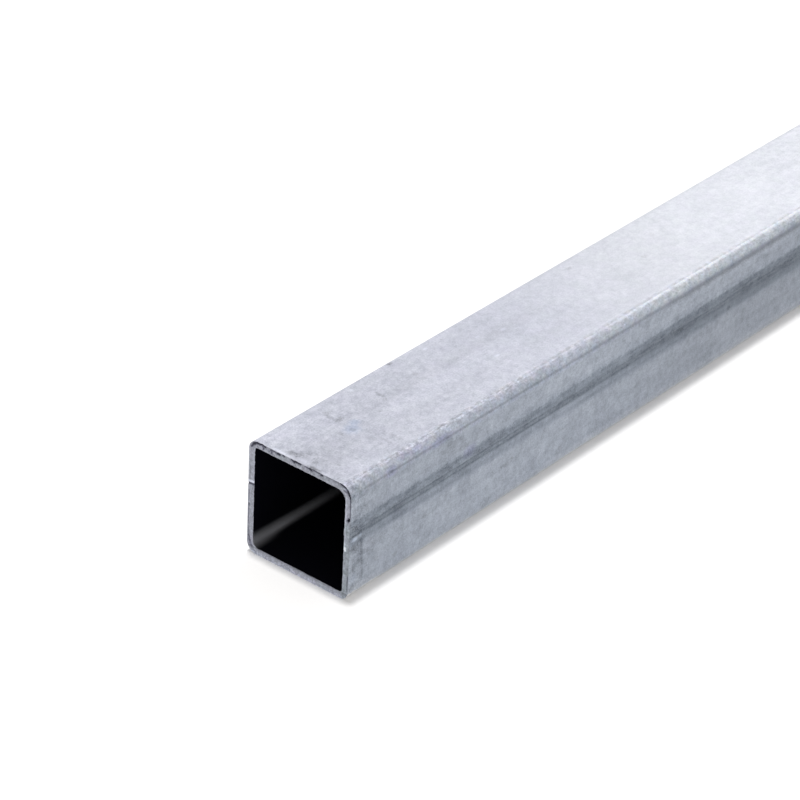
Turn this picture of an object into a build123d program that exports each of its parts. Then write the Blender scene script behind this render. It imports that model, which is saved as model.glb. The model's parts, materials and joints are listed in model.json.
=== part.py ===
from build123d import *
from math import hypot
import os

# Square hollow section, cold-formed from zinc-coated strip and welded along one side.
# One length of stock, lying on its underside. +X runs along the tube, the weld is in
# the -Y side, +Z is up, and the origin is the middle of the underside at mid length.

os.makedirs("parts", exist_ok=True)

# Driving dimensions, in millimetres
length = 1000.0
side = 25.0
wall = 1.5

# Outside corner radii. Forming rolls leave each corner a little different.
outer_top_weld_radius = 2.5
outer_top_plain_radius = 2.0
outer_bottom_weld_radius = 1.9
outer_bottom_plain_radius = 2.4

# Inside corner radii, most of them tighter than the outside ones
inner_top_weld_radius = 2.2
inner_top_plain_radius = 0.6
inner_bottom_weld_radius = 0.6
inner_bottom_plain_radius = 1.4

# The longitudinal weld. Its outside bead is shaved off by a round-nosed scarfing
# tool, which leaves a faintly hollow band, and its inside bead is pressed nearly flat.
weld_rise = 2.2  # centre of the weld above the middle of its side
scarf_width = 5.2
scarf_depth = 0.06
bead_width = 2.0
bead_height = 0.15


def arc_radius(chord, rise):
    """Radius of the round nose or bead that shows this chord and this rise."""
    return hypot(chord / 2, rise) ** 2 / (2 * rise)


def round_corners(sketch, corners):
    """Round each (y, z, radius) corner of a rectangle drawn in the section plane."""
    for y, z, radius in corners:
        corner = sketch.vertices().sort_by_distance((y, z))[0]
        fillet(corner, radius)


# Faces and centres that the profile, the bore and the weld all share
weld_face = -side / 2
plain_face = side / 2
bore_weld_face = weld_face + wall
bore_plain_face = plain_face - wall
bore_floor = wall
bore_roof = side - wall
weld_height = side / 2 + weld_rise
scarf_radius = arc_radius(scarf_width, scarf_depth)
bead_radius = arc_radius(bead_width, bead_height)

with BuildPart() as square_tube:
    # The rolled outside, with the scarfed band taken off the welded side
    with BuildSketch(Plane.YZ) as outside:
        with Locations((0, side / 2)):
            Rectangle(side, side)
        round_corners(
            outside,
            [
                (weld_face, side, outer_top_weld_radius),
                (plain_face, side, outer_top_plain_radius),
                (weld_face, 0, outer_bottom_weld_radius),
                (plain_face, 0, outer_bottom_plain_radius),
            ],
        )
        with Locations((weld_face - scarf_radius + scarf_depth, weld_height)):
            Circle(scarf_radius, mode=Mode.SUBTRACT)
    extrude(amount=length / 2, both=True)

    # The bore, open at both sawn ends, with the bead standing in from the weld
    with BuildSketch(Plane.YZ) as bore:
        with Locations((0, side / 2)):
            Rectangle(side - 2 * wall, side - 2 * wall)
        round_corners(
            bore,
            [
                (bore_weld_face, bore_roof, inner_top_weld_radius),
                (bore_plain_face, bore_roof, inner_top_plain_radius),
                (bore_weld_face, bore_floor, inner_bottom_weld_radius),
                (bore_plain_face, bore_floor, inner_bottom_plain_radius),
            ],
        )
        with Locations((bore_weld_face - bead_radius + bead_height, weld_height)):
            Circle(bead_radius, mode=Mode.SUBTRACT)
    extrude(amount=length / 2, both=True, mode=Mode.SUBTRACT)

square_tube.part.label = "square_tube"
export_step(square_tube.part, "parts/square_tube.step")
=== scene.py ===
import bmesh
import bpy
import json
import math
from mathutils import Matrix, Vector, noise

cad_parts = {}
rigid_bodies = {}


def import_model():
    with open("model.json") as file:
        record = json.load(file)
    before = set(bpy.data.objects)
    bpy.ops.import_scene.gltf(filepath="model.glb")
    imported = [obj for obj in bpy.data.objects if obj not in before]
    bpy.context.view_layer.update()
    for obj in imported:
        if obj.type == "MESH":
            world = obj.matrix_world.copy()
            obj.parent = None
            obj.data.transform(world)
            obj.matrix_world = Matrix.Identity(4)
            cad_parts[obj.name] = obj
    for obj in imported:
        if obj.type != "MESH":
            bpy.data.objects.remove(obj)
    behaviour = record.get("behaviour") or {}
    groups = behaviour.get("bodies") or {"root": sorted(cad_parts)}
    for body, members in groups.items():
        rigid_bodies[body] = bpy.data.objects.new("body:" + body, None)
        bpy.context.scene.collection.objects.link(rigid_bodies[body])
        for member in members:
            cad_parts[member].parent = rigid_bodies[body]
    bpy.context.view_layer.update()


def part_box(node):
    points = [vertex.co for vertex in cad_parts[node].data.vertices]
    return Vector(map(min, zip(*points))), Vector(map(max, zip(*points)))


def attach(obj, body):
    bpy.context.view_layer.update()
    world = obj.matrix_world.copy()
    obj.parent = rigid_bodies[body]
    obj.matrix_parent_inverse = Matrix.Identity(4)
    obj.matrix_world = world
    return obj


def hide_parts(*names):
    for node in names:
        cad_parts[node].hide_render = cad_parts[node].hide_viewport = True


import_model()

mm = 0.001
tiny = 0.01 * mm
print("frame loaded")


# helpers for working in edit mode
def onlyActive(piece):
    bpy.ops.object.select_all(action="DESELECT")
    piece.select_set(True)
    bpy.context.view_layer.objects.active = piece


def pick(piece, kind, test):
    # select by place: everything off, then whatever passes the test
    bpy.ops.mesh.select_mode(type=kind)
    bpy.ops.mesh.select_all(action="DESELECT")
    cage = bmesh.from_edit_mesh(piece.data)
    parts = {"VERT": cage.verts, "EDGE": cage.edges, "FACE": cage.faces}[kind]
    for part in parts:
        if test(part):
            part.select_set(True)
    cage.select_flush_mode()
    bmesh.update_edit_mesh(piece.data)


def atLine(edge, y, z):
    return all(abs(v.co.y - y) < tiny and abs(v.co.z - z) < tiny for v in edge.verts)


# the tube takes its size from the solid
tubeLow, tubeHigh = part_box("square_tube")
tubeLength = tubeHigh.x - tubeLow.x
tubeSide = tubeHigh.z - tubeLow.z
halfSide = tubeSide / 2
nearEnd, farEnd = tubeLow.x, tubeHigh.x

tube = {
    "wall": 1.42 * mm,     # rolled a little under its 1.5 mm gauge
    # corners: (y side, z side, outside radius, inside radius), the weld is on the -y side
    "corners": [
        (-1, 1, 2.5 * mm, 2.2 * mm),
        (1, 1, 2.0 * mm, 0.6 * mm),
        (-1, -1, 1.9 * mm, 0.6 * mm),
        (1, -1, 2.4 * mm, 1.4 * mm),
    ],
    "cornerSteps": 16,
    "flatCuts": 129,       # a line every sixth of a millimetre
    "weldCuts": 199,       # and every tenth on the welded side
    "rimCuts": 13,         # rings between skin and bore on each cut
    # loops across the tube, by distance from each end in mm
    "endLoops": [0.15, 0.4, 0.8, 1.5, 2.6, 4.0, 6.0, 12.0, 30.0, 70.0],
    "midSpans": 6,
    "leastFlat": 10 * mm,  # shorter edges belong to the corners
    "smoothAngle": 35.0,
}


def onWeldFace(edge, width):
    # whether an edge lies in the -y face of a section this wide
    return sum(abs(v.co.y + width / 2) for v in edge.verts) < tiny


def makeSleeve(name, inset, radii):
    # one long shell of the section, open at both ends
    width = tubeSide - 2 * inset
    bpy.ops.object.select_all(action="DESELECT")
    bpy.ops.mesh.primitive_cube_add(size=1, location=(0, 0, halfSide), scale=(tubeLength, width, width))
    sleeve = bpy.context.object
    sleeve.name = name
    bpy.ops.object.transform_apply(location=True, rotation=True, scale=True)
    bpy.ops.object.mode_set(mode="EDIT")
    for ySide, zSide, radius in radii:
        y, z = ySide * width / 2, halfSide + zSide * width / 2
        pick(sleeve, "EDGE", lambda edge: atLine(edge, y, z))
        bpy.ops.mesh.bevel(offset=radius, offset_type="OFFSET", segments=tube["cornerSteps"], profile=0.5)
    pick(sleeve, "FACE", lambda face: abs(face.normal.x) > 0.9)
    bpy.ops.mesh.delete(type="ONLY_FACE")
    # the edge of each flat, at both ends, cut into fine steps
    for onWeldSide, cuts in ((True, tube["weldCuts"]), (False, tube["flatCuts"])):
        pick(sleeve, "EDGE", lambda edge: edge.is_boundary and edge.calc_length() > tube["leastFlat"]
             and onWeldFace(edge, width) == onWeldSide)
        bpy.ops.mesh.subdivide(number_cuts=cuts)
    bpy.ops.object.mode_set(mode="OBJECT")
    return sleeve


def makeTube():
    skinCorners = [(y, z, outer) for y, z, outer, _ in tube["corners"]]
    boreCorners = [(y, z, inner) for y, z, _, inner in tube["corners"]]
    outside = makeSleeve("squareTubeSkin", 0, skinCorners)
    inside = makeSleeve("squareTubeBore", tube["wall"], boreCorners)
    onlyActive(inside)
    bpy.ops.object.mode_set(mode="EDIT")
    bpy.ops.mesh.select_all(action="SELECT")
    bpy.ops.mesh.flip_normals()
    bpy.ops.object.mode_set(mode="OBJECT")
    onlyActive(outside)
    inside.select_set(True)
    bpy.ops.object.join()
    body = bpy.context.object
    body.name = "zincSquareTube"
    bpy.ops.object.mode_set(mode="EDIT")
    for end in (nearEnd, farEnd):
        pick(body, "EDGE", lambda edge: edge.is_boundary and abs(edge.verts[0].co.x - end) < tiny)
        bpy.ops.mesh.bridge_edge_loops(number_cuts=tube["rimCuts"], interpolation="LINEAR")
    # loops across the tube, close together by the sawn ends
    stations = []
    for distance in tube["endLoops"]:
        stations += [nearEnd + distance * mm, farEnd - distance * mm]
    clear = nearEnd + tube["endLoops"][-1] * mm
    stations += [clear - 2 * clear * k / tube["midSpans"] for k in range(1, tube["midSpans"])]
    for station in stations:
        bpy.ops.mesh.select_all(action="SELECT")
        bpy.ops.mesh.bisect(plane_co=(station, 0, 0), plane_no=(1, 0, 0))
    bpy.ops.object.mode_set(mode="OBJECT")
    print("tube body:", len(body.data.vertices), "points")
    return body


finishOf = {"skin": 0, "cut": 1, "bore": 2}


def sortFaces(body):
    # which finish each face takes, while the cuts are still flat
    boreReach = halfSide - tube["wall"] + tiny
    for face in body.data.polygons:
        ends = {round(body.data.vertices[k].co.x, 5) for k in face.vertices}
        centre = face.center
        if ends == {round(nearEnd, 5)} or ends == {round(farEnd, 5)}:
            face.material_index = finishOf["cut"]
        elif max(abs(centre.y), abs(centre.z - halfSide)) < boreReach:
            face.material_index = finishOf["bore"]
        else:
            face.material_index = finishOf["skin"]


def depthFromSkin(y, z):
    # how far in from the outer surface, in mm, following the rounded corners
    up = z - halfSide / mm
    for ySide, zSide, radius, _ in tube["corners"]:
        if y * ySide >= 0 and up * zSide >= 0:
            core = (halfSide - radius) / mm
            past = (max(0.0, abs(y) - core), max(0.0, abs(up) - core))
            if past[0] > 0 and past[1] > 0:
                return radius / mm - math.hypot(*past)
            return halfSide / mm - max(abs(y), abs(up))


weld = {
    "height": 14.7 * mm,
    "scarfWidth": 5.2 * mm,
    "scarfDepth": 0.06 * mm,
    "beadWidth": 2.0 * mm,
    "beadHeight": 0.15 * mm,
    # lines left by the scarfing tool: (height, width, depth) in mm
    "scrapes": [(15.03, 0.34, 0.05), (14.05, 0.38, 0.06), (12.5, 0.3, 0.02), (16.3, 0.5, 0.015)],
    "cornerLine": (23.4, 0.35, 0.03),     # a line along the corner above it
    "rimFade": 0.5,        # mm over which the hollow fades into the sawn wall
}


def hump(place, middle, width):
    # 1 in the middle of a strip, falling to 0 at its sides
    return max(0.0, 1 - (abs(place - middle) / (width / 2)) ** 2)


def shapeWeld(body):
    # the outside bead is scraped off slightly hollow, the inside bead stands up
    skinY, boreY = -halfSide, -halfSide + tube["wall"]
    bpy.ops.object.mode_set(mode="EDIT")
    rows = sorted({round(v.co.z, 7) for v in bmesh.from_edit_mesh(body.data).verts
                   if abs(v.co.y - boreY) < tiny and abs(v.co.z - weld["height"]) < weld["beadWidth"] / 2})
    for row in rows:
        rise = weld["beadHeight"] * hump(row, weld["height"], weld["beadWidth"])
        pick(body, "VERT", lambda v: abs(v.co.y - boreY) < tiny and abs(v.co.z - row) < tiny)
        bpy.ops.transform.translate(value=(0, rise, 0))
    bpy.ops.object.mode_set(mode="OBJECT")
    # the scarf and its lines fade out across the sawn wall
    for v in body.data.vertices:
        depth = depthFromSkin(v.co.y / mm, v.co.z / mm)
        if v.co.y > skinY + tube["wall"] / 2 or depth > weld["rimFade"]:
            continue
        hollow = weld["scarfDepth"] * hump(v.co.z, weld["height"], weld["scarfWidth"])
        for height, width, cut in weld["scrapes"] + [weld["cornerLine"]]:
            hollow += cut * mm * hump(v.co.z / mm, height, width)
        v.co.y += hollow * (1 - depth / weld["rimFade"])
    print("weld: bead on", len(rows), "rows")


saw = {
    "recess": 0.05,        # mm that the cut lies behind the burr on its edge
    "waviness": 0.08,
    "waveScale": (0.7, 2.5),
    "burrWidth": 0.14,
    "innerWear": 0.06,     # how far the bore's edge is worn back, and over what width
    "wearLevel": 0.6,
    "wearWidth": 0.05,
    "wearScale": 1.5,
    "raggedness": 0.5,     # how much the width of a tear varies
    "raggedScale": 3.0,
    "darkCore": 1.6,       # above 1, a tear is fully dark over more of its width
    # torn places: (y, z) to (y, z), width, depth in mm, how dark; their dark is partly oxide and partly
    # painted shade in the tears
    "tears": [
        ((12.0, 23.4), (11.4, 24.3), 0.50, 0.10, 0.75),
        ((11.4, 24.3), (10.4, 24.8), 0.60, 0.12, 0.80),
        ((10.3, 24.72), (9.1, 24.82), 0.50, 0.20, 0.92),
        ((9.1, 24.78), (8.5, 24.65), 0.42, 0.15, 0.75),
        ((9.2, 24.6), (9.0, 23.95), 0.46, 0.12, 0.66),
        ((7.9, 24.35), (7.6, 24.15), 0.40, 0.08, 0.40),
        ((7.2, 24.65), (7.0, 24.05), 0.56, 0.12, 0.66),
        ((6.9, 24.75), (5.8, 24.68), 0.44, 0.10, 0.55),
        ((5.7, 24.55), (5.0, 24.58), 0.56, 0.18, 0.85),
        ((4.2, 24.75), (4.0, 24.68), 0.46, 0.15, 0.70),
        ((2.1, 24.72), (1.4, 24.5), 0.52, 0.15, 0.82),
        ((1.2, 24.78), (0.0, 24.68), 0.52, 0.15, 0.86),
        ((-1.2, 24.78), (-1.9, 24.75), 0.36, 0.10, 0.50),
        ((-2.3, 24.75), (-2.65, 24.6), 0.52, 0.20, 0.86),
        ((-3.1, 24.86), (-4.8, 24.82), 0.36, 0.10, 0.66),
        ((-5.1, 24.7), (-5.35, 24.58), 0.52, 0.15, 0.85),
        ((-6.5, 24.88), (-9.3, 24.82), 0.26, 0.06, 0.30),
        # a double tear round the corner above the weld
        ((-9.8, 24.8), (-10.85, 24.45), 0.46, 0.16, 0.90),
        ((-10.85, 24.45), (-11.4, 24.05), 0.52, 0.16, 0.97),
        ((-11.4, 24.05), (-11.8, 23.5), 0.56, 0.16, 0.98),
        ((-11.8, 23.5), (-12.12, 22.8), 0.52, 0.16, 0.97),
        ((-12.12, 22.8), (-12.28, 22.0), 0.38, 0.12, 0.78),
        ((-12.28, 22.0), (-12.34, 18.6), 0.32, 0.10, 0.55),
        ((-10.7, 23.75), (-11.3, 23.5), 0.34, 0.10, 0.50),
        # a slag pit above the weld, its black a painted shade
        ((-11.82, 17.62), (-12.14, 18.05), 0.62, 0.35, 1.00),
        # a nick right across the plain wall, its dark a painted shadow under its lip
        ((12.45, 15.14), (11.1, 15.22), 0.54, 0.16, 0.70),
        # small tears down both walls
        ((12.2, 19.3), (12.1, 18.7), 0.40, 0.05, 0.20),
        ((12.3, 10.6), (12.3, 10.2), 0.36, 0.12, 0.55),
        ((12.32, 13.6), (12.28, 11.4), 0.30, 0.04, 0.30),
        ((12.3, 9.4), (12.3, 6.2), 0.30, 0.04, 0.30),
        ((12.25, 5.4), (12.1, 3.4), 0.30, 0.04, 0.35),
        ((-12.28, 5.4), (-12.28, 2.2), 0.28, 0.05, 0.45),
        # painted shade round the corner below the plain wall, along its outer edge
        ((12.1, 3.5), (11.8, 2.3), 0.60, 0.03, 0.50),
        ((11.75, 2.2), (11.45, 1.6), 0.80, 0.03, 0.48),
        ((11.3, 1.35), (11.1, 1.15), 0.80, 0.02, 0.22),
        ((10.9, 0.75), (10.2, 0.5), 0.50, 0.02, 0.34),
    ],
    # bright places on the cut, most of them painted glints on burrs, the nick and edges: (y, z) to (y, z),
    # width, how bright
    "glints": [
        ((12.45, 15.7), (11.1, 15.8), 0.66, 1.15),
        ((-11.38, 11.5), (-11.4, 11.0), 0.70, 1.95),
        ((-11.2, 12.6), (-11.3, 11.4), 0.34, 0.55),
        ((-10.75, 24.14), (-11.25, 24.0), 0.40, 0.55),
        ((-11.3, 22.6), (-11.33, 11.6), 0.50, 0.28),
        ((11.75, 18.2), (11.75, 16.6), 0.40, 0.08),
        ((12.3, 23.2), (12.35, 17.6), 0.46, 0.24),
    ],
}


def strokeAt(start, stop, width, y, z):
    # 1 along the middle of a stroke, falling to 0 at its sides
    run = Vector(stop) - Vector(start)
    reach = Vector((y, z)) - Vector(start)
    along = min(1.0, max(0.0, reach.dot(run) / run.length_squared))
    return hump((reach - run * along).length, 0.0, width)


def roughenCuts(body):
    # the saw's waves, the burr on the outer edge, the tears and pits along it with their painted shade, and
    # the painted glints
    data = body.data
    depths = [0.0] * len(data.vertices)
    tears = [0.0] * len(data.vertices)
    glints = [0.0] * len(data.vertices)
    for end, into, turned in ((nearEnd, 1, False), (farEnd, -1, True)):
        for v in data.vertices:
            if abs(v.co.x - end) > tiny:
                continue
            y, z = v.co.y / mm, v.co.z / mm
            depth = depthFromSkin(y, z)
            if turned:     # the far cut has its tears along the bottom
                y, z = -y, tubeSide / mm - z
            torn = 0.0
            dark = 0.0
            unevenly = noise.noise(Vector((y * saw["raggedScale"], z * saw["raggedScale"], end * 100)))
            ragged = 1 + saw["raggedness"] * unevenly
            for start, stop, width, deep, shade in saw["tears"]:
                stroke = strokeAt(start, stop, width * ragged, y, z)
                if stroke > 0:
                    torn = max(torn, deep * stroke ** 0.5)
                    dark = max(dark, shade * min(1.0, saw["darkCore"] * stroke))
            for start, stop, width, shade in saw["glints"]:
                glints[v.index] = max(glints[v.index], shade * strokeAt(start, stop, width, y, z))
            burr = max(0.0, 1 - depth / saw["burrWidth"])
            wave = noise.noise(Vector((y * saw["waveScale"][0], z * saw["waveScale"][1], 7.0 + end)))
            recess = (saw["recess"] + saw["waviness"] * wave) * (1 - burr) + torn
            if depth > tube["wall"] / mm - saw["wearWidth"]:
                worn = noise.noise(Vector((y * saw["wearScale"], z * saw["wearScale"], 3.0)))
                recess += saw["innerWear"] * (saw["wearLevel"] + worn)
            v.co.x = end + into * max(0.0, recess) * mm
            depths[v.index] = depth
            tears[v.index] = dark
    for name, values in (("fromSkin", depths), ("torn", tears), ("glint", glints)):
        data.attributes.new(name, "FLOAT", "POINT").data.foreach_set("value", values)
    print("both cuts roughened")


tubeBody = makeTube()
sortFaces(tubeBody)
shapeWeld(tubeBody)
roughenCuts(tubeBody)
onlyActive(tubeBody)
bpy.ops.object.shade_smooth_by_angle(angle=math.radians(tube["smoothAngle"]))


# helpers for building materials
def addNode(tree, kind, **settings):
    node = tree.nodes.new(kind)
    for key, value in settings.items():
        setattr(node, key, value)
    return node


def feed(tree, socket, value):
    if isinstance(value, bpy.types.NodeSocket):
        tree.links.new(value, socket)
    else:
        socket.default_value = value


def calc(tree, operation, a, b=0.0, c=0.0):
    node = addNode(tree, "ShaderNodeMath", operation=operation)
    for socket, value in zip(node.inputs, (a, b, c)):
        feed(tree, socket, value)
    return node.outputs[0]


def times(tree, *values):
    result = values[0]
    for value in values[1:]:
        result = calc(tree, "MULTIPLY", result, value)
    return result


def plus(tree, *values):
    result = values[0]
    for value in values[1:]:
        result = calc(tree, "ADD", result, value)
    return result


def restOf(tree, share):
    # what a share leaves of 1
    return calc(tree, "SUBTRACT", 1.0, share)


def fade(tree, value, start, stop, low=0.0, high=1.0):
    # a soft step from low at start to high at stop
    node = addNode(tree, "ShaderNodeMapRange", interpolation_type="SMOOTHSTEP")
    for socket, number in zip(node.inputs, (value, start, stop, low, high)):
        feed(tree, socket, number)
    return node.outputs[0]


def within(tree, value, low, high, soft):
    # 1 between two places and 0 outside them
    rising = fade(tree, value, low - soft, low + soft)
    falling = fade(tree, value, high + soft, high - soft)
    return times(tree, rising, falling)


def grain(tree, vector, scale, detail, roughness):
    node = addNode(tree, "ShaderNodeTexNoise")
    feed(tree, node.inputs["Vector"], vector)
    node.inputs["Scale"].default_value = scale
    node.inputs["Detail"].default_value = detail
    node.inputs["Roughness"].default_value = roughness
    return node.outputs["Fac"]


def grainsOf(tree, place, table):
    # every pattern of a table: squeeze, shift, scale, detail, roughness
    return {name: grain(tree, mapped(tree, place, squeeze, shift), *settings)
            for name, (squeeze, shift, *settings) in table.items()}


def swing(tree, value, amount):
    # turns a 0 to 1 pattern into one that swings either side of nothing
    return calc(tree, "MULTIPLY_ADD", value, amount, -amount / 2)


def mapped(tree, vector, squeeze, shift):
    node = addNode(tree, "ShaderNodeMapping")
    feed(tree, node.inputs["Vector"], vector)
    node.inputs["Location"].default_value = shift
    node.inputs["Scale"].default_value = squeeze
    return node.outputs[0]


def shadesAlong(tree, value, shades):
    # a run of shades at given places; the ramp holds half of each, because it stops at 1
    low, high = shades[0][0], shades[-1][0]
    node = addNode(tree, "ShaderNodeMapRange")
    for socket, number in zip(node.inputs, (value, low, high, 0.0, 1.0)):
        feed(tree, socket, number)
    ramp = addNode(tree, "ShaderNodeValToRGB")
    tree.links.new(node.outputs[0], ramp.inputs[0])
    stops = ramp.color_ramp.elements
    ends = {low: stops[0], high: stops[-1]}
    for place, shade in shades:
        stop = ends[place] if place in ends else stops.new((place - low) / (high - low))
        stop.color = (shade / 2, shade / 2, shade / 2, 1)
        ends = {low: stops[0], high: stops[-1]}
    return times(tree, ramp.outputs[0], 2.0)


def mark(tree, place, ragged, centre, size):
    # one soft-edged blotch: 1 in its middle, 0 outside
    offset = addNode(tree, "ShaderNodeVectorMath", operation="SUBTRACT")
    feed(tree, offset.inputs[0], place)
    offset.inputs[1].default_value = centre
    scaled = addNode(tree, "ShaderNodeVectorMath", operation="DIVIDE")
    tree.links.new(offset.outputs[0], scaled.inputs[0])
    scaled.inputs[1].default_value = size
    away = addNode(tree, "ShaderNodeVectorMath", operation="LENGTH")
    tree.links.new(scaled.outputs[0], away.inputs[0])
    return fade(tree, calc(tree, "ADD", away.outputs["Value"], ragged), 1.3, 0.3)


def colourBy(tree, colour, factor):
    # a colour made lighter or darker by a pattern
    node = addNode(tree, "ShaderNodeVectorMath", operation="SCALE")
    feed(tree, node.inputs[0], colour)
    feed(tree, node.inputs["Scale"], factor)
    return node.outputs[0]


def tintBy(tree, colour, push, amount):
    # colour * (1 + push * amount), push being a small (r, g, b)
    spread = addNode(tree, "ShaderNodeCombineXYZ")
    for socket in spread.inputs:
        feed(tree, socket, amount)
    node = addNode(tree, "ShaderNodeVectorMath", operation="MULTIPLY_ADD")
    tree.links.new(spread.outputs[0], node.inputs[0])
    node.inputs[1].default_value = push
    node.inputs[2].default_value = (1, 1, 1)
    product = addNode(tree, "ShaderNodeVectorMath", operation="MULTIPLY")
    feed(tree, product.inputs[0], colour)
    tree.links.new(node.outputs[0], product.inputs[1])
    return product.outputs[0]


def pattern(tree, name):
    return addNode(tree, "ShaderNodeAttribute", attribute_name=name).outputs["Fac"]


def bumpFrom(tree, surface, height, strength, distance):
    node = addNode(tree, "ShaderNodeBump")
    node.inputs["Strength"].default_value = strength
    node.inputs["Distance"].default_value = distance
    tree.links.new(height, node.inputs["Height"])
    tree.links.new(node.outputs[0], surface.inputs["Normal"])


def startMaterial(name):
    material = bpy.data.materials.new(name)
    material.use_nodes = True
    tree = material.node_tree
    tree.nodes.clear()
    out = addNode(tree, "ShaderNodeOutputMaterial")
    surface = addNode(tree, "ShaderNodeBsdfPrincipled")
    tree.links.new(surface.outputs[0], out.inputs[0])
    place = addNode(tree, "ShaderNodeTexCoord").outputs["Object"]
    # millimetres, with x counted from the near end
    place = mapped(tree, place, [1 / mm] * 3, (-nearEnd / mm, 0, 0))
    axes = addNode(tree, "ShaderNodeSeparateXYZ")
    tree.links.new(place, axes.inputs[0])
    return material, tree, surface, place, axes.outputs


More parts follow.
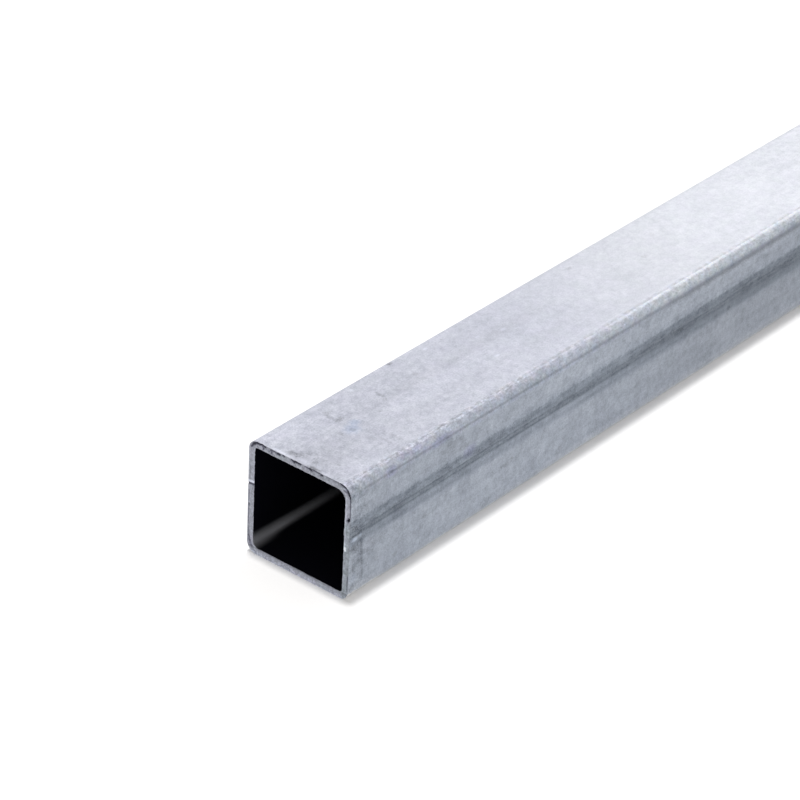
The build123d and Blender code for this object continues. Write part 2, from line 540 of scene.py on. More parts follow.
zinc = {
    # a little lighter than the zinc: a painted sheen in place of the overhead lamp's, which mirrors don't
    # show
    "colour": (0.604, 0.62, 0.711),
    "metal": 0.2,
    "roughness": 0.48,
    "bump": 0.3,
    "bumpDepth": 0.02 * mm,
    # tints: pushes of red, green and blue
    "sideTint": (-0.137, -0.085, -0.075),    # the welded side is darker and less red, and takes the painted sheen back off
    "bandTint": (-0.05, 0.0, 0.05),
    # the warm colour of the painted floor light on the lower corner of the welded side
    "floorLightTint": (0.15, 0.04, -0.1),
    "cloudTint": (0.1, 0.0, 0.13),
    "mottleTint": (0.05, 0.0, -0.09),
    "underTint": (0.0, 0.0, 0.035),
    "farTopTint": (0.0, 0.0, -0.05),
    "lavenderTint": (0.01, -0.025, 0.085),
    "blueTint": (-0.11, -0.05, 0.02),
    "motleyTints": [("redPatch", (0.22, 0, 0)), ("bluePatch", (0, 0, 0.26))],
    # patterns: squeeze of (x, y, z), where less than 1 draws them out, then shift,
    # grains to the millimetre, detail and roughness
    "grains": {
        "slow": ((1, 1, 1), (3, 17, 8), 0.07, 2.0, 0.5),
        "cloud": ((1, 1, 1), (0, 0, 0), 0.16, 3.0, 0.5),
        "patch": ((1, 1, 1), (21, 4, 6), 0.42, 2.0, 0.5),
        "mottle": ((1, 1, 1), (0, 0, 0), 0.85, 3.0, 0.6),
        "fine": ((1, 1, 1), (0, 0, 0), 2.8, 2.0, 0.6),
        "drawn": ((0.025, 0.9, 0.9), (0, 0, 0), 1.0, 3.0, 0.5),
        "wander": ((1, 0, 0), (0, 0, 0), 0.12, 3.0, 0.5),
        "lines": ((0.03, 1, 4.2), (0, 0, 0), 1.0, 3.0, 0.65),
        "soil": ((0.05, 0.3, 0.3), (0, 0, 0), 1.0, 2.0, 0.5),
        "smear": ((0.28, 1.1, 1.1), (0, 0, 0), 1.0, 3.0, 0.7),
        "speckle": ((0.8, 1.5, 1.5), (0, 0, 0), 1.0, 3.0, 0.65),
        "dashes": ((0.45, 1.6, 1.6), (0, 0, 0), 1.0, 3.0, 0.7),
        "crumbs": ((0.8, 2.2, 2.2), (5, 0, 9), 1.0, 3.0, 0.75),
        "pits": ((1, 1, 1), (2, 30, 7), 0.6, 4.0, 0.65),
        "brights": ((1, 1, 1), (40, 9, 3), 0.8, 4.0, 0.65),
        "hue": ((1, 1, 1), (7, 5, 9), 0.3, 2.0, 0.5),
        "redPatch": ((1, 1, 1), (13, 2, 6), 0.7, 3.0, 0.5),
        "bluePatch": ((1, 1, 1), (31, 2, 6), 0.55, 3.0, 0.5),
    },
    # how much each pattern of the plain coat counts
    "swings": {"slow": 0.3, "cloud": 0.4, "patch": 0.45, "mottle": 0.85, "fine": 0.95, "drawn": 0.3},
    # strips in mm: from, to, and how soft their edges are
    "strips": {
        # by height on the welded side
        "weld": (11.0, 18.4, 0.3),
        "lowDark": (12.3, 13.6, 0.35),
        "nearDark": (12.3, 14.9, 0.4),
        "clamp": (4.0, 12.9, 0.8),
        # by distance round the corner above the weld
        "lip": (-1.6, -0.5, 0.4),
        "underLip": (0.1, 1.2, 0.3),
        "rollMark": (-2.4, 1.1, 0.4),
        "crumbs": (-2.35, -0.75, 0.3),
        "crease": (-1.65, -1.2, 0.22),
        "wideCreaseHighlight": (-1.65, -0.85, 0.25),
        "motley": (-2.4, 2.6, 0.4),
        "underEdge": (1.6, 2.8, 0.4),
        "underLine": (2.2, 3.5, 0.5),
        # along the tube, the clamp's two from the edge of its mark
        "sawnLip": (0.2, 0.6, 0.15),
        "clampFoot": (-2.6, 0.0, 0.3),
        "clampEdge": (-0.2, 0.5, 0.22),
        "stripes": (24.0, 76.0, 8.0),
    },
    # how strong the mottle is along the top, by distance from the near end
    "mottleAlong": [(0, 0.7), (25, 0.72), (60, 0.55), (100, 0.38), (150, 0.45), (230, 0.7), (1000, 0.7)],
    # the weld band: height above the underside in mm, and the share of the plain coat's shade
    "weldShades": [
        (11.2, 1.0), (11.6, 0.95), (12.0, 0.84), (12.35, 0.77), (12.6, 0.8), (13.1, 0.83), (13.55, 0.77),
        (13.85, 0.61), (14.3, 0.57), (15.2, 0.59), (15.6, 0.63), (16.7, 0.63), (17.05, 0.69),
        (17.3, 0.81), (17.6, 0.95), (18.0, 1.0),
    ],
    # two fine dark lines in it, with a lighter one between them
    "lineShades": [
        (13.7, 1.0), (13.9, 0.81), (14.02, 0.7), (14.15, 0.8), (14.33, 0.95), (14.52, 1.02),
        (14.75, 0.94), (14.9, 0.82), (15.03, 0.74), (15.16, 0.86), (15.35, 1.0),
    ],
    # how strongly the band shows along the tube
    "weldAlong": [
        (0, 1.05), (3, 1.0), (7, 0.93), (14, 0.98), (42, 0.99), (58, 0.89), (70, 1.0), (88, 1.15),
        (115, 1.2), (160, 1.1), (300, 0.85), (480, 1.05), (700, 0.9), (1000, 1.05),
    ],
    # the corner above the weld, by distance round it: the top is below 0; a painted highlight on the
    # crease, painted sheen over the turn and a painted dark reflection below it
    "cornerShades": [
        (-4.0, 1.0), (-3.1, 1.0), (-2.65, 1.035), (-2.3, 0.995), (-1.95, 0.905), (-1.7, 0.93),
        (-1.4, 1.07), (-1.1, 1.005), (-0.7, 0.955), (0.2, 0.985), (1.0, 0.98), (1.3, 0.9), (1.52, 0.7),
        (1.74, 0.71), (1.95, 0.93), (2.2, 1.03), (2.8, 1.0),
    ],
    # slow changes of shade along the tube, on the top and on the welded side; the top's lighter stretch
    # from about 60 to 260 mm and the side's darker one from about 90 to 200 mm are painted light, the rest
    # the zinc's own tone
    "topShades": [
        (0, 0.94), (4, 0.97), (9, 1.01), (14, 0.99), (22, 0.955), (35, 0.985), (48, 1.0), (62, 1.01),
        (82, 1.07), (98, 1.14), (118, 1.21), (130, 1.25), (170, 1.2), (260, 1.05), (400, 1.0), (520, 1.1),
        (640, 1.04), (800, 1.12), (900, 1.0), (1000, 0.98),
    ],
    "sideShades": [
        (0, 0.99), (4, 1.0), (8, 1.02), (14, 1.07), (60, 1.07), (80, 1.05), (100, 0.96), (125, 0.88),
        (160, 0.88), (260, 1.0), (400, 0.95), (560, 1.04), (700, 0.95), (850, 1.02), (1000, 1.0),
    ],
    # how much the top's changes still count, by distance round the corner
    "topShare": [(0.6, 1.0), (1.9, 0.35), (7.0, 0.25), (11.0, 0.0)],
    # shades of the welded side by height: its upper part lighter, a painted light
    "sideHeight": [
        (0.0, 1.0), (11.0, 1.0), (18.0, 1.085), (20.0, 1.08), (21.5, 1.09), (23.0, 1.06), (25.0, 1.0),
    ],
    # faint lengthwise stripes on the top, by distance from its middle: beside the cut, and further along
    "stripesByCut": [
        (-11.0, 1.0), (-9.4, 1.06), (-7.2, 1.0), (-5.0, 0.95), (-2.8, 0.92), (-1.2, 0.91), (0.3, 0.92),
        (2.5, 0.94), (4.0, 0.99), (6.2, 1.02), (9.0, 1.07), (11.0, 1.04),
    ],
    "stripesAlong": [
        (-11.0, 1.0), (-9.0, 1.02), (-6.0, 1.0), (-3.7, 0.975), (-1.6, 1.04), (1.0, 1.03), (2.3, 0.95),
        (3.2, 0.925), (4.2, 0.95), (6.0, 1.0), (9.0, 0.985), (11.0, 1.0),
    ],
    # where the single marks lie, and how far they reach into the coat
    "topAt": 25.0,
    "sideAt": -12.4,
    "markDepth": 1.5,
    # blotches and specks on the top: (x, y), (half length, half width), lighter or darker
    "topMarks": [
        ((1.45, 3.3), (0.8, 1.1), -0.28), ((1.9, 2.0), (1.0, 0.7), -0.18),
        ((3.0, 0.9), (1.3, 0.9), -0.09), ((0.3, -3.2), (0.5, 1.4), -0.55),
        ((2.1, -1.7), (0.8, 0.8), -0.16), ((0.9, -0.2), (0.8, 1.7), 0.22),
        ((0.4, 5.8), (0.55, 1.6), 0.32), ((0.35, 3.4), (0.45, 2.0), 0.26),
        ((1.2, -3.4), (0.6, 0.7), 0.12), ((0.4, -6.0), (0.5, 1.5), 0.14),
        ((4.4, -5.5), (0.5, 0.4), -0.16), ((16.5, 4.6), (1.0, 0.7), -0.3),
        ((16.5, 7.9), (0.8, 0.9), -0.24), ((15.9, 6.5), (0.6, 1.0), -0.14),
        ((15.6, 0.4), (0.6, 0.6), -0.2), ((28.6, 4.9), (0.5, 1.2), -0.2),
        ((28.0, 3.2), (0.6, 0.6), -0.12), ((38.6, 11.0), (0.8, 0.5), -0.4),
        ((17.0, -6.0), (0.4, 3.0), -0.07), ((19.3, -6.6), (0.4, 3.0), -0.1),
        ((15.6, -5.0), (0.5, 2.2), -0.08), ((26.0, 9.8), (0.6, 0.6), 0.2),
        ((47.8, 9.5), (0.75, 0.42), 0.25), ((58.4, 5.0), (0.7, 0.4), 0.16),
        ((64.3, 3.2), (0.9, 0.5), 0.2), ((55.5, -2.2), (0.8, 0.42), 0.22),
        ((39.2, 4.8), (0.6, 0.8), -0.16), ((93.0, 8.7), (1.1, 0.6), -0.12),
        ((116.5, 5.0), (0.8, 0.8), -0.08), ((107.7, 0.6), (0.8, 0.8), -0.1),
        ((5.6, -2.8), (3.0, 3.2), -0.05), ((12.8, 1.2), (0.6, 0.9), -0.14),
        ((24.0, 1.0), (0.8, 0.4), -0.16), ((6.2, -10.2), (1.2, 0.5), -0.1),
        ((20.4, -11.0), (1.0, 0.4), -0.2), ((40.5, -4.6), (0.5, 0.4), 0.14),
    ],
    # the same on the welded side: (x, z), (half length, half height)
    "sideMarks": [
        ((1.5, 13.2), (1.1, 0.62), 0.75), ((3.1, 13.4), (0.5, 0.4), 0.5),
        ((1.8, 13.98), (1.3, 0.22), -0.42), ((1.1, 15.6), (1.3, 0.8), -0.36),
        ((1.6, 17.0), (1.1, 0.6), 0.08), ((1.6, 11.5), (1.1, 0.9), -0.18),
        ((1.6, 2.6), (1.0, 0.4), -0.16), ((1.2, 4.4), (1.4, 1.1), 0.26), ((11.3, 23.3), (0.9, 0.5), -0.3),
        ((2.0, 21.6), (1.3, 1.9), 0.13), ((4.4, 19.0), (1.0, 1.6), -0.08),
        ((0.5, 11.0), (0.5, 0.8), -0.12), ((48.7, 9.1), (0.55, 0.55), -0.3),
        ((46.8, 8.5), (1.9, 0.4), -0.16), ((64.3, 3.6), (1.3, 1.3), -0.12),
        ((117.5, 20.6), (0.7, 0.7), -0.16), ((113.5, 11.0), (0.9, 0.5), -0.14),
        ((121.0, 12.3), (0.9, 0.6), -0.2), ((21.8, 9.4), (1.2, 1.0), -0.1),
        ((13.5, 4.0), (0.8, 0.6), -0.18), ((8.0, 5.8), (0.6, 0.9), -0.1),
        ((29.5, 21.0), (4.0, 1.6), -0.1), ((33.0, 18.9), (1.6, 1.0), -0.1),
        ((22.6, 8.3), (1.6, 0.4), -0.12), ((7.0, 10.0), (3.2, 1.7), -0.07),
        ((7.0, 17.8), (3.4, 0.6), -0.08),
    ],
    # bluish stains on the top: (x, y), (half length, half width)
    "blueStains": [((15.6, 0.7), (2.0, 1.7)), ((17.6, 1.9), (1.5, 1.1))],
    # lavender places beside the corner and on the band: (x, z), (half length, half height)
    "lavender": [
        ((11.5, 23.2), (2.2, 1.0)), ((19.0, 24.6), (6.0, 0.8)), ((26.0, 23.4), (6.0, 0.7)),
        ((34.8, 17.0), (2.4, 1.6)),
    ],
}


def onTop(spot, size):
    # the middle and the half size of a mark on the top
    return (*spot, zinc["topAt"]), (*size, zinc["markDepth"])


def onSide(spot, size):
    return (spot[0], zinc["sideAt"], spot[1]), (size[0], zinc["markDepth"], size[1])


def strip(tree, value, name):
    return within(tree, value, *zinc["strips"][name])


def weldBand(tree, grains, fromEnd, height, onWeld):
    # straight lines, and edges broken by the mottle: where the band is, and its shade
    sag = fade(tree, fromEnd, 32.0, 66.0, 0.0, 0.16)
    wander = plus(tree, sag, swing(tree, grains["wander"], 0.3), swing(tree, grains["mottle"], 0.7),
                  swing(tree, grains["fine"], 0.5))
    band = shadesAlong(tree, plus(tree, height, wander), zinc["weldShades"])
    inBand = times(tree, restOf(tree, band), onWeld, shadesAlong(tree, fromEnd, zinc["weldAlong"]))
    soiled = plus(tree, swing(tree, grains["lines"], 0.7), swing(tree, grains["soil"], 0.35), 1.0)
    lowDark = times(tree, strip(tree, height, "lowDark"), fade(tree, fromEnd, 62.0, 110.0, 0.0, 0.13),
                    onWeld)
    bandShade = restOf(tree, plus(tree, times(tree, inBand, soiled), lowDark))
    # the lower line is the fainter one, by the cut and further along
    fineLines = plus(tree, height, sag, swing(tree, grains["fine"], 0.15))
    fineLines = plus(tree, shadesAlong(tree, fineLines, zinc["lineShades"]), -1.0)
    nearShare = fade(tree, height, 14.3, 14.7, 0.15, 0.6)
    farShare = fade(tree, height, 14.3, 14.7, 0.0, 0.3)
    lineShare = times(tree, onWeld, fade(tree, fromEnd, 4.0, 18.0, nearShare, 1.0),
                      fade(tree, fromEnd, 52.0, 85.0, 1.0, farShare))
    lineShade = calc(tree, "MULTIPLY_ADD", fineLines, lineShare, 1.0)
    # the lower half is a little darker by the cut, except where the clamp rubbed it
    unrubbed = fade(tree, fromEnd, 2.0, 4.5, fade(tree, height, 13.4, 14.0, 0.1, 1.0), 1.0)
    nearDark = times(tree, strip(tree, height, "nearDark"), fade(tree, fromEnd, 22.0, 9.0, 0.0, 0.11),
                     unrubbed, onWeld)
    return inBand, calc(tree, "SUBTRACT", times(tree, bandShade, lineShade), nearDark)


def cornerMark(tree, grains, fromEnd, around, onWeldSide):
    # a crease with a painted highlight, a speckled roll mark, and under it a painted dark reflection over a
    # shallow groove, which slips down the side and grows wider further along
    past = calc(tree, "SUBTRACT", around, plus(tree, fade(tree, fromEnd, 22.0, 110.0, 0.0, 0.27), 1.3))
    wider = plus(tree, fade(tree, fromEnd, 32.0, 112.0, 0.0, -0.45),
                 fade(tree, fromEnd, 90.0, 108.0, 0.0, -0.15))
    wider = times(tree, fade(tree, past, -0.3, 0.3), wider)
    slip = times(tree, fade(tree, fromEnd, 22.0, 110.0, 0.0, -0.27), fade(tree, around, -0.4, 1.2))
    turn = plus(tree, around, slip, times(tree, past, wider), swing(tree, grains["fine"], 0.2))
    corner = plus(tree, shadesAlong(tree, turn, zinc["cornerShades"]), -1.0)
    corner = plus(tree, times(tree, corner, fade(tree, fromEnd, 0.5, 4.5)), 1.0)
    speckled = times(tree, strip(tree, around, "rollMark"), swing(tree, grains["speckle"], 1.0))
    crumbsHere = times(tree, strip(tree, around, "crumbs"), fade(tree, fromEnd, 66.0, 44.0))
    crumbled = times(tree, crumbsHere, swing(tree, grains["crumbs"], 1.7))
    # bright dashes along the crease, and a lighter wide crease further along: painted highlights
    dashes = fade(tree, grains["dashes"], 0.46, 0.62, 0.0, 0.16)
    dashedHighlight = times(tree, strip(tree, around, "crease"), dashes)
    wideCreaseHighlight = times(tree, strip(tree, around, "wideCreaseHighlight"), fade(tree, fromEnd, 50.0, 120.0, 0.0, 0.2))
    corner = plus(tree, corner, speckled, crumbled, dashedHighlight, wideCreaseHighlight)
    under = times(tree, strip(tree, around, "underLine"), fade(tree, fromEnd, 62.0, 115.0, 0.0, -0.11))
    corner = plus(tree, corner, times(tree, under, onWeldSide))
    # by the cut the edge of the top is brighter and the corner under it darker
    lip = plus(tree, times(tree, strip(tree, around, "lip"), 0.14),
               times(tree, strip(tree, around, "underLip"), -0.1))
    return plus(tree, corner, times(tree, lip, fade(tree, fromEnd, 4.5, 2.5)))


def floorLitEdge(tree, fromEnd, across, height):
    # painted light: the lower corner of the welded side is lighter and warmer, as if lit by light off the
    # floor, most of all beside the cut
    byEnd = fade(tree, fromEnd, 12.0, 6.0)
    floorLightLow = times(tree, fade(tree, height, 1.9, 1.0), plus(tree, times(tree, byEnd, 0.25), 0.55))
    floorLightAbove = plus(tree, times(tree, byEnd, 0.17), fade(tree, fromEnd, 52.0, 76.0, 0.04, 0.16))
    floorLight = plus(tree, floorLightLow, times(tree, fade(tree, height, 3.4, 2.3), floorLightAbove))
    return times(tree, floorLight, fade(tree, across, -10.6, -11.6))


def clampMark(tree, fromEnd, height, sideness, ragged):
    # beside the cut and under the weld, leaning a little
    lean = times(tree, calc(tree, "SUBTRACT", 12.5, height), 0.08)
    fromClamp = calc(tree, "SUBTRACT", fromEnd, plus(tree, lean, 3.25, times(tree, ragged, 0.1)))
    clampSpan = times(tree, strip(tree, height, "clamp"), sideness)
    foot = times(tree, strip(tree, fromClamp, "clampFoot"), clampSpan, -0.18)
    edge = times(tree, strip(tree, fromClamp, "clampEdge"), clampSpan, -0.34)
    return plus(tree, foot, edge, times(tree, strip(tree, fromEnd, "sawnLip"), sideness, 0.1))


def singleMarks(tree, place, ragged):
    spots = [(*onTop(spot, size), amount) for spot, size, amount in zinc["topMarks"]]
    spots += [(*onSide(spot, size), amount) for spot, size, amount in zinc["sideMarks"]]
    blots = 0.0
    for centre, size, amount in spots:
        blots = calc(tree, "MULTIPLY_ADD", mark(tree, place, ragged, centre, size), amount, blots)
    return blots


def slowShades(tree, fromEnd, across, height, around):
    # changes along the tube, and stripes across the top
    alongTop = shadesAlong(tree, fromEnd, zinc["topShades"])
    alongSide = shadesAlong(tree, fromEnd, zinc["sideShades"])
    alongSide = times(tree, alongSide, shadesAlong(tree, height, zinc["sideHeight"]))
    topShare = shadesAlong(tree, around, zinc["topShare"])
    along = plus(tree, times(tree, alongTop, topShare), times(tree, alongSide, restOf(tree, topShare)))
    byCut = plus(tree, shadesAlong(tree, across, zinc["stripesByCut"]), -1.0)
    further = plus(tree, shadesAlong(tree, across, zinc["stripesAlong"]), -1.0)
    stripes = plus(tree, times(tree, byCut, fade(tree, fromEnd, 20.0, 8.0)),
                   times(tree, further, strip(tree, fromEnd, "stripes")), 1.0)
    return along, stripes


def zincSkin():
    material, tree, surface, place, (fromEnd, across, height) = startMaterial("dullZincCoat")
    grains = grainsOf(tree, place, zinc["grains"])
    # distance round from the sharp line of the corner above the weld: top below 0, side above
    around = calc(tree, "SUBTRACT", halfSide / mm, calc(tree, "ADD", height, across))
    sideness = fade(tree, around, -2.2, 1.6)
    onWeldSide = fade(tree, across, -12.2, -12.35)
    onWeld = times(tree, onWeldSide, strip(tree, height, "weld"))
    ragged = plus(tree, swing(tree, grains["mottle"], 1.6), swing(tree, grains["fine"], 0.9))
    markEdge = times(tree, ragged, 0.8)

    # the coat itself: clouds, mottle, fine grain and faint streaks from rolling
    coat = plus(tree, *(swing(tree, grains[name], amount) for name, amount in zinc["swings"].items()))
    nearCut = fade(tree, fromEnd, 7.0, 1.5, 1.0, fade(tree, around, -3.0, 2.0, 1.25, 1.75))
    mottleHere = fade(tree, around, -3.0, 2.0, shadesAlong(tree, fromEnd, zinc["mottleAlong"]), 0.9)
    inBand, bandShade = weldBand(tree, grains, fromEnd, height, onWeld)
    overLines = fade(tree, height, 13.0, 14.0, 0.45, 1.0)
    grainier = plus(tree, times(tree, inBand, overLines, fade(tree, fromEnd, 50.0, 90.0, 1.2, 0.6)), 1.0)
    coat = plus(tree, times(tree, coat, nearCut, mottleHere, grainier), 1.0)
    coat = plus(tree, coat, times(tree, swing(tree, grains["smear"], 2.4), inBand, overLines))

    corner = cornerMark(tree, grains, fromEnd, around, onWeldSide)
    floorLight = floorLitEdge(tree, fromEnd, across, height)
    clamped = clampMark(tree, fromEnd, height, sideness, ragged)
    blots = singleMarks(tree, place, markEdge)
    along, stripes = slowShades(tree, fromEnd, across, height, around)
    pits = fade(tree, grains["pits"], 0.66, 0.78)
    brights = fade(tree, grains["brights"], 0.68, 0.78)
    shade = plus(tree, coat, clamped, blots, times(tree, pits, -0.08), times(tree, brights, 0.07))
    shade = times(tree, shade, bandShade, corner, along, stripes)
    # painted light off the floor on the lower corner of the welded side
    shade = plus(tree, shade, floorLight)

    colour = colourBy(tree, zinc["colour"], shade)
    colour = tintBy(tree, colour, zinc["sideTint"], sideness)
    colour = tintBy(tree, colour, zinc["bandTint"], times(tree, restOf(tree, bandShade), 2.0))
    colour = tintBy(tree, colour, zinc["floorLightTint"], floorLight)
    hueHere = fade(tree, around, -3.0, 2.0, 0.4, 0.2)
    colour = tintBy(tree, colour, zinc["cloudTint"], times(tree, swing(tree, grains["hue"], 1.0), hueHere))
    # the corner above the weld is more colourful, and bluer under its edge further along
    motley = strip(tree, around, "motley")
    for name, push in zinc["motleyTints"]:
        colour = tintBy(tree, colour, push, times(tree, swing(tree, grains[name], 1.0), motley))
    underEdge = times(tree, strip(tree, around, "underEdge"), fade(tree, fromEnd, 15.0, 50.0, 0.3, 1.0))
    colour = tintBy(tree, colour, zinc["underTint"], underEdge)
    colour = tintBy(tree, colour, zinc["mottleTint"], plus(tree, coat, clamped, -1.0))
    farTop = times(tree, fade(tree, fromEnd, 60.0, 115.0), fade(tree, around, 1.9, 1.3))
    colour = tintBy(tree, colour, zinc["farTopTint"], farTop)
    stains = [(*onSide(spot, size), zinc["lavenderTint"]) for spot, size in zinc["lavender"]]
    stains += [(*onTop(spot, size), zinc["blueTint"]) for spot, size in zinc["blueStains"]]
    for centre, size, push in stains:
        colour = tintBy(tree, colour, push, mark(tree, place, markEdge, centre, size))
    tree.links.new(colour, surface.inputs["Base Color"])

    dull = plus(tree, swing(tree, grains["mottle"], 0.16), swing(tree, grains["cloud"], 0.1),
                times(tree, onWeld, 0.12))
    tree.links.new(plus(tree, dull, zinc["roughness"]), surface.inputs["Roughness"])
    surface.inputs["Metallic"].default_value = zinc["metal"]
    relief = plus(tree, times(tree, grains["mottle"], 0.6), times(tree, grains["fine"], 0.4),
                  times(tree, onWeld, grains["lines"], 0.5))
    bumpFrom(tree, surface, relief, zinc["bump"], zinc["bumpDepth"])
    return material


sawn = {
    "colour": (0.42, 0.435, 0.505),
    "metal": 0.45,
    "roughness": 0.45,
    "bump": 0.4,
    "bumpDepth": 0.02 * mm,
    "hueTint": (0.14, 0.0, 0.12),
    "weldSideTint": (-0.08, -0.02, -0.05),
    "tornTint": (0.0, -0.04, 0.16),
    "tornDark": -0.96,
    "glintShare": 1.2,
    # patterns, set out like the coat's
    "grains": {
        "mottle": ((1, 1, 1), (0, 0, 0), 1.1, 3.0, 0.6),
        "fine": ((1, 1, 1), (0, 0, 0), 3.2, 2.0, 0.6),
        "strokes": ((1, 5.0, 0.45), (0, 0, 0), 1.0, 2.0, 0.5),
        "hue": ((1, 1, 1), (3, 8, 2), 0.35, 2.0, 0.5),
    },
    # by distance in from the skin, mm
    "wallShades": [
        (0.0, 0.98), (0.15, 0.88), (0.35, 0.9), (0.6, 1.0), (1.1, 1.02), (1.3, 1.08), (1.42, 0.95),
    ],
    # and by height, the lowest wall being the brightest, a painted light off the floor along its outer edge
    "heightShades": [
        (0.0, 1.96), (0.3, 1.76), (0.6, 1.38), (1.0, 1.07), (1.2, 0.87), (1.42, 0.66), (1.6, 1.1),
        (4.0, 1.0), (17.0, 1.02), (19.0, 1.06), (22.5, 1.05), (24.3, 0.98), (24.6, 0.97), (25.0, 0.98),
    ],
}


def sawnSteel():
    material, tree, surface, place, (_, across, height) = startMaterial("sawnSteel")
    inward = pattern(tree, "fromSkin")
    torn = pattern(tree, "torn")
    mottle, fine, strokes, hue = grainsOf(tree, place, sawn["grains"]).values()
    shade = shadesAlong(tree, plus(tree, inward, swing(tree, mottle, 0.5)), sawn["wallShades"])
    shade = plus(tree, shade, swing(tree, mottle, 1.3), swing(tree, fine, 1.1), swing(tree, strokes, 0.35))
    # the tears darken the cut: partly oxide, partly painted shade
    whole = calc(tree, "MULTIPLY_ADD", torn, sawn["tornDark"], 1.0)
    shade = times(tree, shade, whole, shadesAlong(tree, height, sawn["heightShades"]))
    # painted glints added to the cut's colour
    shade = plus(tree, shade, times(tree, pattern(tree, "glint"), sawn["glintShare"]))
    colour = colourBy(tree, sawn["colour"], shade)
    colour = tintBy(tree, colour, sawn["hueTint"], swing(tree, hue, 1.0))
    weldWall = times(tree, fade(tree, across, -10.4, -11.6), fade(tree, height, 18.5, 16.0))
    colour = tintBy(tree, colour, sawn["weldSideTint"], weldWall)
    colour = tintBy(tree, colour, sawn["tornTint"], torn)
    tree.links.new(colour, surface.inputs["Base Color"])
    surface.inputs["Metallic"].default_value = sawn["metal"]
    dull = plus(tree, swing(tree, strokes, 0.2), times(tree, torn, 0.45), sawn["roughness"])
    tree.links.new(dull, surface.inputs["Roughness"])
    relief = plus(tree, times(tree, strokes, 0.7), times(tree, fine, 0.3))
    bumpFrom(tree, surface, relief, sawn["bump"], sawn["bumpDepth"])
    return material


bore = {
    # near black, a painted shade where the inside would be grey steel
    "colour": (0.0012, 0.0012, 0.004),
    "highlightColour": (0.42, 0.42, 0.45),
    # how bright the painted highlight strip is along the tube, by distance from the near end
    "highlightShades": [
        (0, 1.2), (2.5, 1.25), (6, 1.85), (9.5, 1.95), (13, 1.6), (17, 1.45), (21, 1.35), (23, 1.0),
        (25.5, 0.4), (60, 0.3), (1000, 0.6),
    ],
    "grains": {
        "scale": ((1, 1, 1), (0, 0, 0), 0.5, 3.0, 0.5),
        "streak": ((0.06, 1.5, 1.5), (0, 0, 0), 1.0, 2.0, 0.5),
    },
    "roughness": 0.65,
    "specular": 0.08,
    "bump": 0.2,
    "bumpDepth": 0.05 * mm,
}


def darkBore():
    # painted shade: the inside is near black, as if deep in shadow, with a painted highlight strip low on
    # the plain wall
    material, tree, surface, place, (fromEnd, across, height) = startMaterial("darkBore")
    scale, streak = grainsOf(tree, place, bore["grains"]).values()
    lowEdge = fade(tree, fromEnd, 1.0, 9.0, 1.0, 1.45)
    topEdge = fade(tree, fromEnd, -4.0, 18.0, 5.0, 4.35)
    strip = times(tree, fade(tree, height, lowEdge, 2.45), fade(tree, height, topEdge, 2.35))
    strip = times(tree, strip, fade(tree, across, 9.2, 10.4))
    highlightShade = shadesAlong(tree, fromEnd, bore["highlightShades"])
    stripHighlight = times(tree, highlightShade, plus(tree, swing(tree, streak, 0.3), 1.0))
    mix = addNode(tree, "ShaderNodeMix", data_type="RGBA")
    factor, first, second = (next(s for s in mix.inputs if s.identifier == name)
                             for name in ("Factor_Float", "A_Color", "B_Color"))
    feed(tree, factor, strip)
    feed(tree, first, colourBy(tree, bore["colour"], plus(tree, swing(tree, scale, 0.6), 1.0)))
    feed(tree, second, colourBy(tree, bore["highlightColour"], stripHighlight))
    mixed = next(s for s in mix.outputs if s.identifier == "Result_Color")
    tree.links.new(mixed, surface.inputs["Base Color"])
    tree.links.new(plus(tree, swing(tree, scale, 0.15), bore["roughness"]), surface.inputs["Roughness"])
    surface.inputs["Specular IOR Level"].default_value = bore["specular"]
    bumpFrom(tree, surface, scale, bore["bump"], bore["bumpDepth"])
    return material


for material in (zincSkin(), sawnSteel(), darkBore()):
    tubeBody.data.materials.append(material)
print("materials on", len(tubeBody.data.polygons), "faces")

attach(tubeBody, "root")
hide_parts("square_tube")


# floor, world and lamps
studio = {
    "floorSize": 60.0,
    "floorDrop": 0.02 * mm,
    # one floor colour for the light that comes back off it, and a paler one to be seen
    "floorColour": (0.52, 0.54, 0.545, 1),
    "seenFloor": (0.975, 0.962, 0.952, 1),
    "seenGlow": 0.17,
    "ambient": 0.32,       # the white world, as a light and in mirrors
    "mirroredWorld": 0.8,
    "keyStrength": 1.95,
    "keyFrom": (0.032, 0.058, 1.0),
    "keySoftness": 5.6,
    "rimStrength": 0.6,
    "rimAzimuth": 20.0,
    "rimHeight": 15.0,
    "rimSize": 20.0,
    "lampDistance": 2.0,
}

bpy.ops.object.select_all(action="DESELECT")
bpy.ops.mesh.primitive_plane_add(size=studio["floorSize"], location=(0, 0, -studio["floorDrop"]))
floor = bpy.context.object
floor.name = "paleFloor"
floorMaterial = bpy.data.materials.new("paleFloor")
floorMaterial.use_nodes = True
floorTree = floorMaterial.node_tree
floorTree.nodes.clear()
floorOut = addNode(floorTree, "ShaderNodeOutputMaterial")
plainFloor = addNode(floorTree, "ShaderNodeBsdfDiffuse")
plainFloor.inputs["Color"].default_value = studio["floorColour"]
seenFloor = addNode(floorTree, "ShaderNodeBsdfDiffuse")
seenFloor.inputs["Color"].default_value = studio["seenFloor"]
seenGlow = addNode(floorTree, "ShaderNodeEmission")
seenGlow.inputs["Strength"].default_value = studio["seenGlow"]
seenSum = addNode(floorTree, "ShaderNodeAddShader")
floorTree.links.new(seenFloor.outputs[0], seenSum.inputs[0])
floorTree.links.new(seenGlow.outputs[0], seenSum.inputs[1])


def seenDirectly(tree):
    # 1 for rays from the camera, mirrors and glass
    rays = addNode(tree, "ShaderNodeLightPath").outputs
    mirrored = calc(tree, "MAXIMUM", rays["Is Glossy Ray"], rays["Is Transmission Ray"])
    return calc(tree, "MAXIMUM", rays["Is Camera Ray"], mirrored)


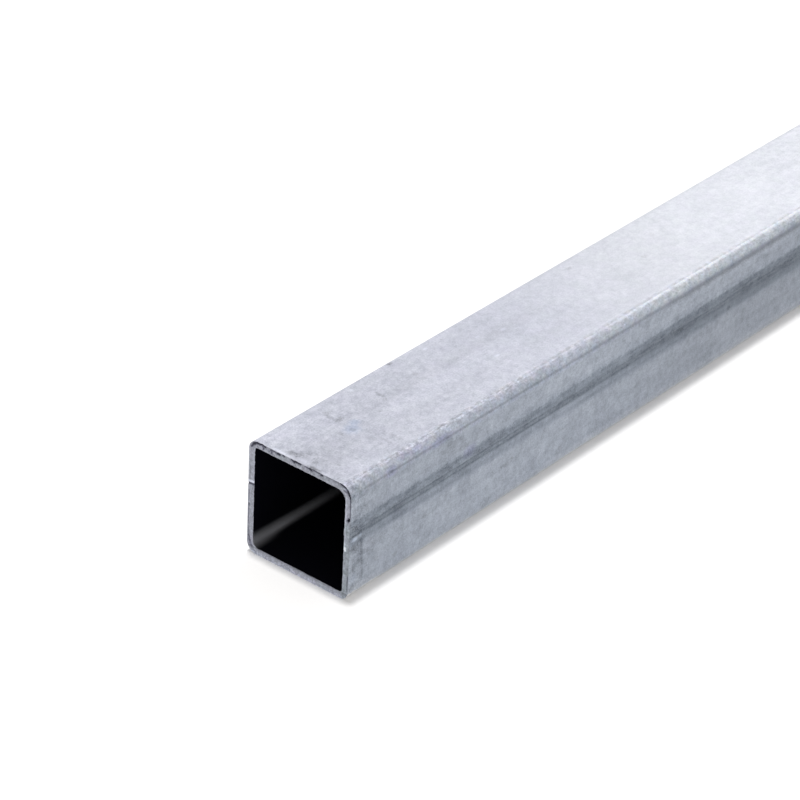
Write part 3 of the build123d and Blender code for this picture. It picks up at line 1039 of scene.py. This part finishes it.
floorMix = addNode(floorTree, "ShaderNodeMixShader")
floorTree.links.new(seenDirectly(floorTree), floorMix.inputs[0])
floorTree.links.new(plainFloor.outputs[0], floorMix.inputs[1])
floorTree.links.new(seenSum.outputs[0], floorMix.inputs[2])
floorTree.links.new(floorMix.outputs[0], floorOut.inputs[0])
floor.data.materials.append(floorMaterial)

world = bpy.data.worlds.new("paleStudio")
bpy.context.scene.world = world
world.use_nodes = True
worldTree = world.node_tree
worldTree.nodes.clear()
worldOut = addNode(worldTree, "ShaderNodeOutputWorld")
backdrop = addNode(worldTree, "ShaderNodeBackground")
backdrop.inputs["Color"].default_value = (1, 1, 1, 1)
seenWorld = fade(worldTree, seenDirectly(worldTree), 0.0, 1.0, studio["ambient"], studio["mirroredWorld"])
cameraRay = addNode(worldTree, "ShaderNodeLightPath").outputs["Is Camera Ray"]
seenWorld = calc(worldTree, "MAXIMUM", seenWorld, cameraRay)
worldTree.links.new(seenWorld, backdrop.inputs["Strength"])
worldTree.links.new(backdrop.outputs[0], worldOut.inputs[0])


def sunFrom(name, direction, strength, size):
    lampData = bpy.data.lights.new(name, "SUN")
    lampData.energy = strength
    lampData.angle = math.radians(size)
    lamp = bpy.data.objects.new(name, lampData)
    bpy.context.scene.collection.objects.link(lamp)
    lamp.rotation_euler = Vector(direction).to_track_quat("Z", "Y").to_euler()
    lamp.location = Vector(direction).normalized() * studio["lampDistance"]
    return lamp


keyLamp = sunFrom("overheadKey", studio["keyFrom"], studio["keyStrength"], studio["keySoftness"])
keyLamp.visible_glossy = False     # mirrored, it would burn out the top as seen from above; the coat's colour carries a painted sheen instead
rimTurn, rimRise = math.radians(studio["rimAzimuth"]), math.radians(studio["rimHeight"])
rimFrom = (math.cos(rimTurn) * math.cos(rimRise), math.sin(rimTurn) * math.cos(rimRise), math.sin(rimRise))
sunFrom("farRim", rimFrom, studio["rimStrength"], studio["rimSize"])
print("studio lit")


view = {
    "azimuth": 38.22,      # the way it looks, turned from +x to +y
    "dip": 31.56,
    "roll": 2.93,
    "distance": 629.2 * mm,
    "focalPixels": 3392.6,
    "framePixels": 800,
    "endPixel": (298.2, 519.9),   # where the middle of the near end shows
    "sensor": 36.0,
    "clip": (0.01, 200.0),
}


def placeCamera():
    azimuth, dip, roll = (math.radians(view[key]) for key in ("azimuth", "dip", "roll"))
    forward = Vector((math.cos(dip) * math.cos(azimuth), math.cos(dip) * math.sin(azimuth), -math.sin(dip)))
    level = forward.cross(Vector((0, 0, 1))).normalized()
    upright = level.cross(forward)
    right = level * math.cos(roll) + upright * math.sin(roll)
    up = upright * math.cos(roll) - level * math.sin(roll)
    middle = view["framePixels"] / 2
    sideways = (view["endPixel"][0] - middle) / view["focalPixels"] * view["distance"]
    downward = (view["endPixel"][1] - middle) / view["focalPixels"] * view["distance"]
    endMiddle = Vector((nearEnd, 0, halfSide))
    spot = endMiddle - forward * view["distance"] - right * sideways + up * downward
    cameraData = bpy.data.cameras.new("studioCamera")
    cameraData.sensor_width = view["sensor"]
    cameraData.lens = view["focalPixels"] * view["sensor"] / view["framePixels"]
    cameraData.clip_start, cameraData.clip_end = view["clip"]
    camera = bpy.data.objects.new("studioCamera", cameraData)
    bpy.context.scene.collection.objects.link(camera)
    turn = Matrix((right, up, -forward)).transposed()
    camera.matrix_world = Matrix.Translation(spot) @ turn.to_4x4()
    bpy.context.scene.camera = camera


placeCamera()
bpy.context.scene.view_settings.view_transform = "Standard"

print("scene ready")
